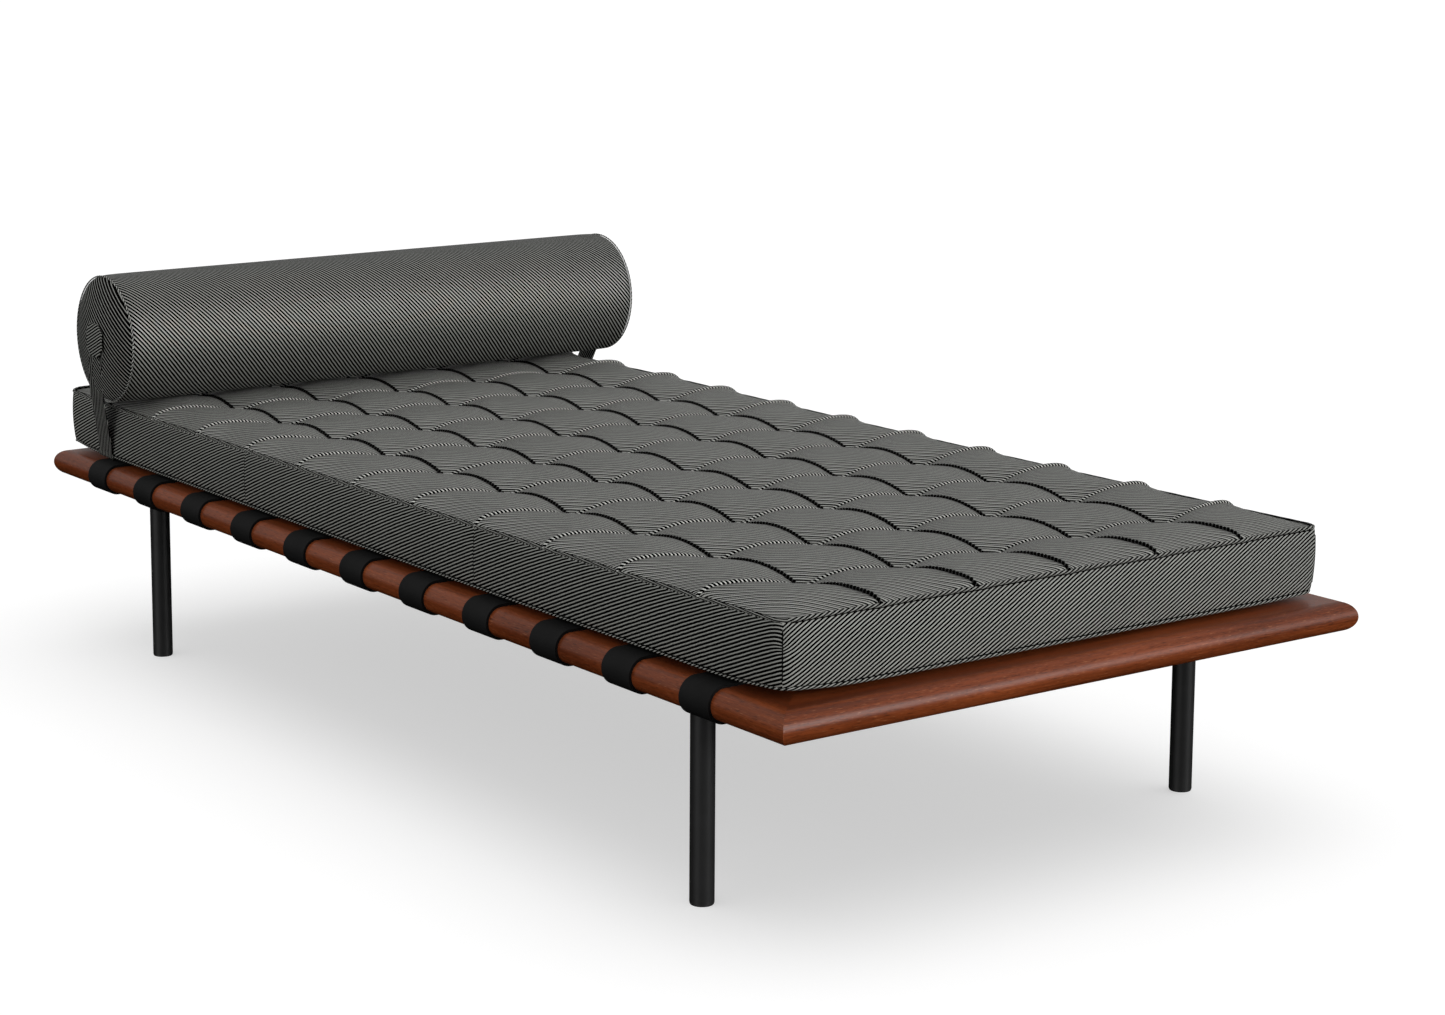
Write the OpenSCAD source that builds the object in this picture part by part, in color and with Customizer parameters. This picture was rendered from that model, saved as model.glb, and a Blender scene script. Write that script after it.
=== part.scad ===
// Daybed: a mitred hardwood frame with bullnose rails, eleven rubber straps across it,
// four steel tube legs, a tufted mattress, and a bolster held by two tethers.
// Millimetres. The origin is the centre of the frame on the floor.
// +X runs to the foot end, +Y across the bed and +Z up.

/* [Frame] */
// Overall length of the wooden frame
frame_l = 1981; // [1850:1:2100]
// Overall width of the wooden frame
frame_w = 978; // [900:1:1060]
// Height of a rail, and so the diameter of its bullnose
rail_h = 41; // [38:1:48]
// Width of a rail seen from above
rail_w = 100; // [96:1:120]
// Height of the rails' underside above the floor
rail_z = 270; // [200:1:340]
// Length of the loose tongue in a mitre, along the mitre
tongue_l = 70; // [50:1:76]
// Width of the loose tongue, across the mitre
tongue_w = 40; // [24:1:44]
// Thickness of the loose tongue
tongue_t = 8; // [6:1:12]

/* [Legs] */
// Outer diameter of a leg tube
leg_d = 32; // [28:1:34]
// Wall of a leg tube
leg_wall = 2; // [1.5:0.5:3]
// Distance between the legs along the length
leg_pitch_x = 1482; // [1476:1:1488]
// Distance between the legs across the width
leg_pitch_y = 838; // [830:1:846]
// Height of a glide's foot below the tube
glide_h = 3; // [2:0.5:6]
// Height of the steel plug in the top of a tube
plug_h = 14; // [10:1:20]
// Diameter of the stud on the plug
stud_d = 10; // [8:1:12]
// Height of the stud above the plug
stud_h = 16; // [12:1:17]
// Length of the mounting plate let into the rail
plate_l = 88; // [80:1:92]
// Width of the mounting plate
plate_w = 50; // [46:1:52]
// Thickness of the mounting plate
plate_t = 4; // [3:0.5:5]

/* [Straps] */
// Number of straps
strap_n = 11; // [11:1:11]
// Width of a strap
strap_w = 60; // [50:1:64]
// Thickness of a strap
strap_t = 4; // [3:0.5:5]
// Distance from one strap to the next
strap_pitch = 164; // [163:0.5:165]
// How far a strap's end lies in from the frame's outer edge, under the rail
strap_tuck = 80; // [78:1:90]
// Width of the bar that clamps a strap's end
clamp_w = 16; // [12:1:18]
// Thickness of the clamp bar
clamp_t = 3; // [2:0.5:4]
// Shank diameter of the wood screws
screw_d = 4; // [3:0.5:5]
// Length of the wood screws under the head
screw_l = 26; // [20:1:30]

/* [Mattress] */
// Length of the mattress
mattress_l = 1942; // [1800:1:1960]
// Width of the mattress
mattress_w = 920; // [860:1:930]
// How far the mattress lies towards the foot end from the frame's centre
mattress_shift = -22; // [-24:1:24]
// Height of the boxing between its two welts
boxing_h = 84; // [60:1:120]
// Height of the top panels' crown above the upper welt line
crown_h = 12; // [8:1:20]
// Depth of the underside below the lower welt line
belly_h = 7; // [7:1:10]
// Diameter of the welt cord
welt_d = 6; // [5:0.5:6.5]
// Panels along the length
panels_l = 12; // [8:1:14]
// Panels across the width
panels_w = 6; // [4:1:8]

/* [Bolster] */
// Diameter of the bolster
bolster_d = 208; // [160:1:240]
// Length of the bolster between its end seams
bolster_l = 973; // [930:1:1000]
// How far an end cap domes out past its seam
dome_h = 15; // [8:1:22]
// Distance of the bolster's axis from the frame's centre line, towards the head end
bolster_back = 790; // [700:1:880]
// Width of a tether
tether_w = 44; // [30:1:50]
// Thickness of a tether
tether_t = 1.4; // [1:0.1:2]
// Length of a tether's tail under the mattress
tail_l = 60; // [40:1:80]
// Width of the patch over a tether's upper end
patch_w = 54; // [50:1:60]
// Thickness of that patch
patch_t = 2; // [1:0.5:3]

/* [Hidden] */
$fn = 64;

// Clearances
fit_gap = 0.1;
slide_gap = 0.3;
eps = 1;

// Frame
rail_r = rail_h / 2;
rail_mid = rail_z + rail_r;
rail_top = rail_z + rail_h;
tongue_inset = rail_w / 2 + 4;

// Legs
leg_r = leg_d / 2;
bore_r = leg_r - leg_wall;
boss_r = stud_d / 2 + 4.5;
boss_h = stud_h;
glide_stem_h = 12;
plate_hole_x = plate_l / 2 - 10;
plate_hole_y = plate_w / 2 - 8;

// Fasteners
screw_r = screw_d / 2;
screw_head_r = screw_d;
screw_head_h = 2;
clamp_hole_x = strap_w / 2 - 12;
clamp_y = frame_w / 2 - strap_tuck + 12;

// Mattress heights
strap_top = rail_top + strap_t;
mattress_z = strap_top + tether_t + 2 * slide_gap;
welt_low_z = mattress_z + belly_h;
welt_high_z = welt_low_z + boxing_h;
mattress_top = welt_high_z + crown_h;
corner_r = 18;
step_in = 12;
welt_r = welt_d / 2;
cloth_t = 2;
washer_r = 9;
washer_t = 1.6;
tie_r = 1;
tuft_z = mattress_top - 24;

// Bolster
bolster_r = bolster_d / 2;
bolster_z = mattress_top + slide_gap + bolster_r;
seam_r = bolster_r - 4;
bolster_welt_r = 2;
dome_steps = 10;
patch_face = bolster_l / 2 + dome_h + tether_t + 2 * fit_gap;

// Tether, from the cap's centre down and under the mattress:
// [towards the foot end from the bolster's axis, out from the bed's middle, height]
side_y = mattress_w / 2 + slide_gap;
tether_route = [
    [0, bolster_l / 2 + dome_h + fit_gap, bolster_z + 12],
    [0, bolster_l / 2 + dome_h + fit_gap, bolster_z - 14],
    [-12, bolster_l / 2 + dome_h - 3, bolster_z - 50],
    [-26, bolster_l / 2 + 4, bolster_z - 92],
    [-34, bolster_l / 2 - 3, bolster_z - 118],
    [-46, side_y + 10, mattress_z + 42],
    [-58, side_y + 0.5, mattress_z + 8],
    [-60, side_y + 0.2, strap_top + slide_gap]
];

// One rail along X with its bullnose towards -Y, its outer face at y = -w/2.
module rail_blank(l, w) {
    translate([-l / 2, -w / 2 + rail_r, rail_mid])
        rotate([0, 90, 0])
            cylinder(r = rail_r, h = l);
    translate([-l / 2, -w / 2 + rail_r, rail_z])
        cube([l, rail_w - rail_r, rail_h]);
}

// The same rail with both ends mitred.
module mitred_rail(l, w) {
    intersection() {
        rail_blank(l, w);
        translate([0, -w / 2, rail_z - eps])
            linear_extrude(rail_h + 2 * eps)
                polygon([
                    [-l / 2, 0],
                    [l / 2, 0],
                    [l / 2 - rail_w, rail_w],
                    [-l / 2 + rail_w, rail_w]
                ]);
    }
}

// A tongue across the mitre at one corner, grown by a clearance.
module tongue_at(sx, sy, grow) {
    translate([
        sx * (frame_l / 2 - tongue_inset),
        sy * (frame_w / 2 - tongue_inset),
        rail_mid
    ])
        rotate([0, 0, sx * sy * 45])
            cube([tongue_l + 2 * grow, tongue_w + 2 * grow, tongue_t + 2 * grow], center = true);
}

module corner_tongue(sx, sy) {
    color("peru") tongue_at(sx, sy, 0);
}

// Screws under one strap's end.
module clamp_screw_places(k, sy) {
    for (sx = [-1, 1])
        translate([strap_x(k) + sx * clamp_hole_x, sy * clamp_y, 0])
            children();
}

// Screws round one leg's plate.
module plate_screw_places(sx, sy) {
    for (ax = [-1, 1])
        for (ay = [-1, 1])
            translate([
                sx * leg_pitch_x / 2 + ax * plate_hole_x,
                sy * leg_pitch_y / 2 + ay * plate_hole_y,
                0
            ])
                children();
}

function strap_x(k) = (k - (strap_n + 1) / 2) * strap_pitch;

module pilot_hole(from_z) {
    translate([0, 0, from_z - eps])
        cylinder(r = screw_r + fit_gap, h = screw_l + eps + 2, $fn = 24);
}

// Everything cut into a side rail: tongue slots, plate recesses, boss holes and screw holes.
module side_rail_cuts(sy) {
    for (sx = [-1, 1]) {
        tongue_at(sx, sy, fit_gap);
        translate([sx * leg_pitch_x / 2, sy * leg_pitch_y / 2, 0]) {
            translate([
                -plate_l / 2 - fit_gap,
                -plate_w / 2 - fit_gap,
                rail_z - eps
            ])
                cube([plate_l + 2 * fit_gap, plate_w + 2 * fit_gap, plate_t + eps]);
            translate([0, 0, rail_z])
                cylinder(r = boss_r + fit_gap, h = plate_t + boss_h + 2);
        }
        plate_screw_places(sx, sy) pilot_hole(rail_z);
    }
    for (k = [1:strap_n])
        clamp_screw_places(k, sy) pilot_hole(rail_z);
}

module side_rail(sy) {
    color("saddlebrown")
        difference() {
            rotate([0, 0, sy < 0 ? 0 : 180]) mitred_rail(frame_l, frame_w);
            side_rail_cuts(sy);
        }
}

module end_rail(sx) {
    color("sienna")
        difference() {
            rotate([0, 0, 90 * sx]) mitred_rail(frame_w, frame_l);
            for (sy = [-1, 1])
                tongue_at(sx, sy, fit_gap);
        }
}

// Rails' outline swept along X, grown by the strap's thickness or not.
module rail_envelope(l, grow) {
    for (sy = [-1, 1])
        translate([-l / 2, sy * (frame_w / 2 - rail_r), rail_mid])
            rotate([0, 90, 0])
                cylinder(r = rail_r + grow, h = l);
    translate([-l / 2, -frame_w / 2 + rail_r, rail_z - grow])
        cube([l, frame_w - rail_h, rail_h + 2 * grow]);
}

module strap(k) {
    open_w = frame_w - 2 * strap_tuck;
    color([0.05, 0.05, 0.05])
        difference() {
            translate([strap_x(k), 0, 0])
                difference() {
                    rail_envelope(strap_w, strap_t);
                    rail_envelope(strap_w + 2 * eps, 0);
                    translate([-strap_w / 2 - eps, -open_w / 2, rail_z - strap_t - eps])
                        cube([strap_w + 2 * eps, open_w, rail_h]);
                }
            for (sy = [-1, 1])
                clamp_screw_places(k, sy) pilot_hole(rail_z - strap_t);
        }
}

module strap_clamps() {
    bar_z = rail_z - strap_t - clamp_t;
    color("dimgray")
        for (k = [1:strap_n])
            for (sy = [-1, 1])
                difference() {
                    translate([strap_x(k) - strap_w / 2 + 1, sy * clamp_y - clamp_w / 2, bar_z])
                        cube([strap_w - 2, clamp_w, clamp_t]);
                    clamp_screw_places(k, sy) pilot_hole(bar_z);
                }
}

// A pan-head wood screw pointing up, its head's seat at seat_z.
module wood_screw(seat_z) {
    translate([0, 0, seat_z - screw_head_h])
        cylinder(r = screw_head_r, h = screw_head_h, $fn = 24);
    translate([0, 0, seat_z - eps / 2])
        cylinder(r = screw_r, h = screw_l + eps / 2, $fn = 24);
}

module strap_screws() {
    color("silver")
        for (k = [1:strap_n])
            for (sy = [-1, 1])
                clamp_screw_places(k, sy) wood_screw(rail_z - strap_t - clamp_t);
}

module plate_screws() {
    color("silver")
        for (sx = [-1, 1])
            for (sy = [-1, 1])
                plate_screw_places(sx, sy) wood_screw(rail_z);
}

module at_leg(sx, sy) {
    translate([sx * leg_pitch_x / 2, sy * leg_pitch_y / 2, 0]) children();
}

module leg(sx, sy) {
    color([0.08, 0.08, 0.08])
        at_leg(sx, sy)
            translate([0, 0, glide_h])
                difference() {
                    cylinder(r = leg_r, h = rail_z - glide_h);
                    translate([0, 0, -eps])
                        cylinder(r = bore_r, h = rail_z - glide_h + 2 * eps);
                }
}

// Steel plug in the tube's top, with the stud that screws up into the plate.
module leg_plug(sx, sy) {
    color("gray")
        at_leg(sx, sy) {
            translate([0, 0, rail_z - plug_h])
                cylinder(r = bore_r - fit_gap, h = plug_h);
            translate([0, 0, rail_z - eps])
                cylinder(r = stud_d / 2 - fit_gap, h = stud_h + eps);
        }
}

module leg_plate(sx, sy) {
    color("darkgray")
        difference() {
            at_leg(sx, sy) {
                translate([-plate_l / 2, -plate_w / 2, rail_z])
                    cube([plate_l, plate_w, plate_t]);
                translate([0, 0, rail_z + plate_t - eps])
                    cylinder(r = boss_r, h = boss_h + eps);
            }
            at_leg(sx, sy)
                translate([0, 0, rail_z - eps])
                    cylinder(r = stud_d / 2, h = plate_t + boss_h + 2 * eps);
            plate_screw_places(sx, sy) pilot_hole(rail_z);
        }
}

// Nylon glide: a foot with a rounded rim and a stem in the tube.
module glide(sx, sy) {
    rim = 1.2;
    color([0.12, 0.12, 0.12])
        at_leg(sx, sy) {
            cylinder(r1 = leg_r - rim, r2 = leg_r - 0.4, h = rim);
            translate([0, 0, rim])
                cylinder(r = leg_r - 0.4, h = glide_h - rim);
            translate([0, 0, glide_h - eps / 2])
                cylinder(r = bore_r - fit_gap, h = glide_stem_h + eps / 2);
        }
}

// A slab with round upright corners, its plan shrunk by inset all round.
module slab(inset, z0, z1) {
    l = mattress_l - 2 * inset;
    w = mattress_w - 2 * inset;
    r = corner_r - inset / 2;
    translate([mattress_shift, 0, z0]) {
        translate([-l / 2 + r, -w / 2, 0])
            cube([l - 2 * r, w, z1 - z0]);
        translate([-l / 2, -w / 2 + r, 0])
            cube([l, w - 2 * r, z1 - z0]);
        for (sx = [-1, 1])
            for (sy = [-1, 1])
                translate([sx * (l / 2 - r), sy * (w / 2 - r), 0])
                    cylinder(r = r, h = z1 - z0);
    }
}

// The stuffed shape: boxing between the welt lines, stepped in above and below them.
module mattress_shape(inset) {
    slab(inset, welt_low_z + inset, welt_high_z - inset);
    slab(step_in + inset, mattress_z + inset, mattress_top - inset);
}

module mattress_cover() {
    color("dimgray")
        difference() {
            mattress_shape(0);
            mattress_shape(cloth_t);
        }
}

module mattress_core() {
    lift = washer_t + fit_gap;
    color("khaki") {
        slab(cloth_t + slide_gap, welt_low_z + cloth_t + slide_gap, welt_high_z - cloth_t - slide_gap);
        slab(
            step_in + cloth_t + slide_gap,
            mattress_z + cloth_t + slide_gap + lift,
            mattress_top - cloth_t - slide_gap
        );
    }
}

module tuft_places() {
    for (i = [1:panels_l - 1])
        for (j = [1:panels_w - 1])
            translate([
                mattress_shift - mattress_l / 2 + i * mattress_l / panels_l,
                -mattress_w / 2 + j * mattress_w / panels_w,
                0
            ])
                children();
}

// Twine that pulls each crossing of the panel seams down through the core.
module tuft_ties() {
    low = mattress_z + cloth_t + slide_gap + washer_t;
    color("ivory")
        tuft_places()
            translate([0, 0, low])
                cylinder(r = tie_r, h = tuft_z - low, $fn = 16);
}

// Felt washer under the core at each tie.
module tie_washers() {
    color("gray")
        tuft_places()
            translate([0, 0, mattress_z + cloth_t + slide_gap])
                cylinder(r = washer_r, h = washer_t, $fn = 24);
}

// A closed loop of round cord round the mattress.
module welt_loop(z) {
    inset = welt_r;
    l = mattress_l - 2 * inset;
    w = mattress_w - 2 * inset;
    r = corner_r - inset;
    translate([mattress_shift, 0, z]) {
        for (sy = [-1, 1])
            translate([-l / 2 + r, sy * w / 2, 0])
                rotate([0, 90, 0])
                    cylinder(r = welt_r, h = l - 2 * r, $fn = 24);
        for (sx = [-1, 1])
            translate([sx * l / 2, -w / 2 + r, 0])
                rotate([-90, 0, 0])
                    cylinder(r = welt_r, h = w - 2 * r, $fn = 24);
        for (turn = [0:3])
            translate([
                (turn == 0 || turn == 3 ? 1 : -1) * (l / 2 - r),
                (turn < 2 ? 1 : -1) * (w / 2 - r),
                0
            ])
                rotate([0, 0, 90 * turn])
                    rotate_extrude(angle = 90)
                        translate([r, 0])
                            circle(r = welt_r, $fn = 24);
    }
}

module welt_top() {
    color("black") welt_loop(welt_high_z + welt_r + fit_gap);
}

module welt_bottom() {
    color("black") welt_loop(welt_low_z - welt_r - fit_gap);
}

// Half outline of the bolster, radius against distance along its axis.
function dome_points(r, half, dome) = [
    for (i = [0:dome_steps])
        let (share = i / dome_steps)
            [r * share, half + dome * (1 - share * share)]
];
function bolster_outline(inset) = let (
    half = bolster_l / 2 - 3 - inset,
    r = bolster_r - inset,
    rs = seam_r - inset
) concat(
    dome_points(rs, half + 3, dome_h),
    [[rs, half], [r, half - 3]],
    [[r, -half + 3], [rs, -half]],
    [for (i = [dome_steps:-1:0]) let (p = dome_points(rs, half + 3, dome_h)[i]) [p[0], -p[1]]]
);

module bolster_shape(inset) {
    translate([-bolster_back, 0, bolster_z])
        rotate([90, 0, 0])
            rotate_extrude($fn = 96)
                polygon(bolster_outline(inset));
}

module bolster_cover() {
    color("dimgray")
        difference() {
            bolster_shape(0);
            bolster_shape(cloth_t);
        }
}

module bolster_core() {
    color("khaki") bolster_shape(cloth_t + slide_gap);
}

module bolster_welt(sy) {
    color("black")
        translate([-bolster_back, sy * (bolster_l / 2 - 1), bolster_z])
            rotate([90, 0, 0])
                rotate_extrude($fn = 96)
                    translate([seam_r + bolster_welt_r + fit_gap, 0])
                        circle(r = bolster_welt_r, $fn = 16);
}

// The tether as a strip of quads that follows its route, then lies flat as the tail.
module tether(sy) {
    half = tether_w / 2;
    last = len(tether_route) - 1;
    tail = [
        [tether_route[last][0], side_y - 6, strap_top + slide_gap],
        [tether_route[last][0], side_y - tail_l, strap_top + slide_gap]
    ];
    route = concat(tether_route, tail);
    n = len(route);
    // Outward offset of the strip's outer face at each point: out of the bed, then down.
    inner = [
        for (i = [0:n - 1])
            i < last ? route[i] : [route[i][0], route[i][1], strap_top + slide_gap + tether_t]
    ];
    outer = [
        for (i = [0:n - 1])
            i < last ? route[i] + [0, tether_t, 0]
            : i == last ? [route[i][0], side_y + tether_t, strap_top + slide_gap]
            : route[i]
    ];
    points = [
        for (i = [0:n - 1])
            for (p = [inner[i], outer[i]])
                for (side = [-half, half])
                    [p[0] + side - bolster_back, sy * p[1], p[2]]
    ];
    // Corner order in a ring: inner low x, inner high x, outer low x, outer high x.
    rings = [
        for (i = [0:n - 2])
            for (e = [[0, 1], [1, 3], [3, 2], [2, 0]])
                [4 * i + e[0], 4 * i + e[1], 4 * (i + 1) + e[1], 4 * (i + 1) + e[0]]
    ];
    ends = [[0, 2, 3, 1], [4 * (n - 1), 4 * (n - 1) + 1, 4 * (n - 1) + 3, 4 * (n - 1) + 2]];
    flipped = [for (f = concat(rings, ends)) [f[3], f[2], f[1], f[0]]];
    color("darkslategray")
        polyhedron(points, sy < 0 ? concat(rings, ends) : flipped);
}

// Square patch with cut corners, sewn over the tether's upper end.
module tether_patch(sy) {
    half = patch_w / 2;
    cut = patch_w / 4;
    color("slategray")
        translate([-bolster_back, sy * patch_face, bolster_z])
            rotate([sy * -90, 0, 0])
                linear_extrude(patch_t)
                    polygon([
                        [-half + cut, -half],
                        [half - cut, -half],
                        [half, -half + cut],
                        [half, half - cut],
                        [half - cut, half],
                        [-half + cut, half],
                        [-half, half - cut],
                        [-half, -half + cut]
                    ]);
}

side_rail(-1);  // side_rail_near
side_rail(1);  // side_rail_far
end_rail(-1);  // end_rail_head
end_rail(1);  // end_rail_foot
corner_tongue(-1, -1);  // tongue_near_head
corner_tongue(1, -1);  // tongue_near_foot
corner_tongue(-1, 1);  // tongue_far_head
corner_tongue(1, 1);  // tongue_far_foot
strap(1);  // strap_01
strap(2);  // strap_02
strap(3);  // strap_03
strap(4);  // strap_04
strap(5);  // strap_05
strap(6);  // strap_06
strap(7);  // strap_07
strap(8);  // strap_08
strap(9);  // strap_09
strap(10);  // strap_10
strap(11);  // strap_11
strap_clamps();
strap_screws();
leg(-1, -1);  // leg_near_head
leg(1, -1);  // leg_near_foot
leg(-1, 1);  // leg_far_head
leg(1, 1);  // leg_far_foot
leg_plug(-1, -1);  // leg_plug_near_head
leg_plug(1, -1);  // leg_plug_near_foot
leg_plug(-1, 1);  // leg_plug_far_head
leg_plug(1, 1);  // leg_plug_far_foot
leg_plate(-1, -1);  // leg_plate_near_head
leg_plate(1, -1);  // leg_plate_near_foot
leg_plate(-1, 1);  // leg_plate_far_head
leg_plate(1, 1);  // leg_plate_far_foot
plate_screws();
glide(-1, -1);  // glide_near_head
glide(1, -1);  // glide_near_foot
glide(-1, 1);  // glide_far_head
glide(1, 1);  // glide_far_foot
mattress_cover();
mattress_core();
tuft_ties();
tie_washers();
welt_top();
welt_bottom();
bolster_cover();
bolster_core();
bolster_welt(-1);  // bolster_welt_near
bolster_welt(1);  // bolster_welt_far
tether(-1);  // tether_near
tether(1);  // tether_far
tether_patch(-1);  // tether_patch_near
tether_patch(1);  // tether_patch_far
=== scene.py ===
import math

import bpy
import numpy as np
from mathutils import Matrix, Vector, kdtree


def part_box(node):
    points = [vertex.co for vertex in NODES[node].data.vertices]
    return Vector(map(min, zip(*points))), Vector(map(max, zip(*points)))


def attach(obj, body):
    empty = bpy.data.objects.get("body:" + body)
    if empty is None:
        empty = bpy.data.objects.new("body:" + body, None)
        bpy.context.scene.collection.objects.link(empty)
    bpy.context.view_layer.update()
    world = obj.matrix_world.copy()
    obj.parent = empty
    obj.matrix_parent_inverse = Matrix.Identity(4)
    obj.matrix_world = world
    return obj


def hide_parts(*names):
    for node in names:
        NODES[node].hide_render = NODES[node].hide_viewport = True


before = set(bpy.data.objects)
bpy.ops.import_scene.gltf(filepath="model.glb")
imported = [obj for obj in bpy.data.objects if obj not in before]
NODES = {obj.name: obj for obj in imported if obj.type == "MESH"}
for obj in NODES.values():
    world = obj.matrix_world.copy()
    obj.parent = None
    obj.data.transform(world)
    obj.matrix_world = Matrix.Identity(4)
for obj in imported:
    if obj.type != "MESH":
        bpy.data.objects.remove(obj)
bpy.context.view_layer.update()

DRAWS = np.random.default_rng(11)
CLOSE = 1e-4

# ---------------------------------------------------------------- camera, floor and light

LENS_MM = 77.14
CAMERA_AT = (3.7254, -2.6475, 1.3044)
CAMERA_HEADING = math.radians(145.224)
CAMERA_DROP = math.radians(9.413)
SENSOR_MM = 36.0
SHIFT_X, SHIFT_Y = 0.085, -0.10
FAR_CLIP = 400.0

FLOOR_TONE = 0.55
FLOOR_GLOW = 0.54
SKY_STRENGTH = 0.52
# Each lamp: name, strength, spread in degrees, the way it shines, whether it lights the floor.
LAMPS = (
    ("window_side", 3.1, 40.0, (-0.90, -0.38, -0.18), False),
    ("overhead", 0.25, 90.0, (0.0, 0.0, -1.0), False),
    ("front_fill", 1.45, 60.0, (-0.10, 0.97, -0.12), False),
    ("floor_wash", 1.35, 75.0, (-0.12, -0.10, -1.0), True),
)


def set_camera():
    bpy.ops.object.camera_add(
        location=CAMERA_AT,
        rotation=(math.pi / 2 - CAMERA_DROP, 0.0, CAMERA_HEADING - math.pi / 2),
    )
    camera = bpy.context.object
    camera.name = "camera"
    camera.data.lens = LENS_MM
    camera.data.sensor_width = SENSOR_MM
    camera.data.shift_x = SHIFT_X
    camera.data.shift_y = SHIFT_Y
    camera.data.clip_end = FAR_CLIP
    bpy.context.scene.camera = camera


def add_sun(floor, name, strength, spread, towards, on_floor):
    """A lamp that lights either the floor alone or everything but the floor."""
    bpy.ops.object.light_add(type="SUN", location=(0.0, 0.0, 3.0))
    lamp = bpy.context.object
    lamp.name = name
    lamp.data.energy = strength
    lamp.data.angle = math.radians(spread)
    lamp.rotation_euler = Vector(towards).to_track_quat("-Z", "Y").to_euler()
    lit = bpy.data.collections.new(name + "_lights")
    lit.objects.link(floor)
    lit.collection_objects[0].light_linking.link_state = "INCLUDE" if on_floor else "EXCLUDE"
    lamp.light_linking.receiver_collection = lit


def set_floor_and_light():
    bpy.ops.mesh.primitive_plane_add(size=160.0, location=(0.0, 0.0, 0.0))
    floor = bpy.context.object
    floor.name = "studio_floor"
    finish, tree, surface = new_finish("pale_floor", 0.9, 0.0)
    surface.inputs["Base Color"].default_value = (FLOOR_TONE,) * 3 + (1.0,)
    surface.inputs["Emission Color"].default_value = (1.0, 1.0, 1.0, 1.0)
    surface.inputs["Emission Strength"].default_value = FLOOR_GLOW
    floor.data.materials.append(finish)
    floor.visible_glossy = False
    floor.visible_diffuse = False

    for lamp in LAMPS:
        add_sun(floor, *lamp)

    # An even pale sky, with nothing below the horizon.
    scene = bpy.context.scene
    scene.world = bpy.data.worlds.new("studio")
    scene.world.use_nodes = True
    tree = scene.world.node_tree
    height = put(
        tree, "SeparateXYZ", {"Vector": put(tree, "TexCoord").outputs["Generated"]}
    ).outputs["Z"]
    sky = maths(tree, "MULTIPLY", maths(tree, "GREATER_THAN", height, 0.0), SKY_STRENGTH)
    tree.links.new(sky, tree.nodes["Background"].inputs["Strength"])
    tree.nodes["Background"].inputs["Color"].default_value = (1.0, 1.0, 1.0, 1.0)
    scene.view_settings.view_transform = "Standard"


# ---------------------------------------------------------------- finishes

RIB_PITCH = 0.005
THREAD_PITCH = 0.0021
LEANS = {
    "top": 41, "side": 22, "end": 30, "end_corner": -48,
    "bolster": 131, "cap": 143, "tether": -9, "patch": 23,
}
LEANS = {place: math.radians(degrees) for place, degrees in LEANS.items()}


def new_finish(name, roughness, specular):
    finish = bpy.data.materials.new(name)
    finish.use_nodes = True
    tree = finish.node_tree
    surface = tree.nodes["Principled BSDF"]
    surface.inputs["Roughness"].default_value = roughness
    surface.inputs["Specular IOR Level"].default_value = specular
    return finish, tree, surface


def put(tree, kind, inputs=(), **settings):
    """Adds a node. Each input is a value, or another node's output, by socket name or number."""
    made = tree.nodes.new("ShaderNode" + kind)
    for key, value in settings.items():
        setattr(made, key, value)
    for key, value in dict(inputs).items():
        if isinstance(value, bpy.types.NodeSocket):
            tree.links.new(value, made.inputs[key])
        else:
            made.inputs[key].default_value = value
    return made


def maths(tree, operation, *values):
    return put(tree, "Math", enumerate(values), operation=operation).outputs[0]


def ramp(tree, value, stops):
    """A colour ramp. Each stop is (place, grey or (red, green, blue))."""
    made = put(tree, "ValToRGB", {"Fac": value})
    band = made.color_ramp
    while len(band.elements) < len(stops):
        band.elements.new(0.5)
    for element, (place, tone) in zip(band.elements, stops):
        element.position = place
        element.color = (*(tone if isinstance(tone, tuple) else (tone,) * 3), 1.0)
    return made.outputs["Color"]


def blend_colours(tree, share, first, second, kind="MIX"):
    made = put(tree, "Mix", data_type="RGBA", blend_type=kind)
    for key, value in ((0, share), (6, first), (7, second)):
        if isinstance(value, bpy.types.NodeSocket):
            tree.links.new(value, made.inputs[key])
        elif key == 0:
            made.inputs[key].default_value = value
        else:
            made.inputs[key].default_value = (*value, 1.0)
    return made.outputs[2]


def raise_surface(tree, surface, height, depth, strength):
    bump = put(tree, "Bump", {"Height": height, "Distance": depth, "Strength": strength})
    tree.links.new(bump.outputs["Normal"], surface.inputs["Normal"])


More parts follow.
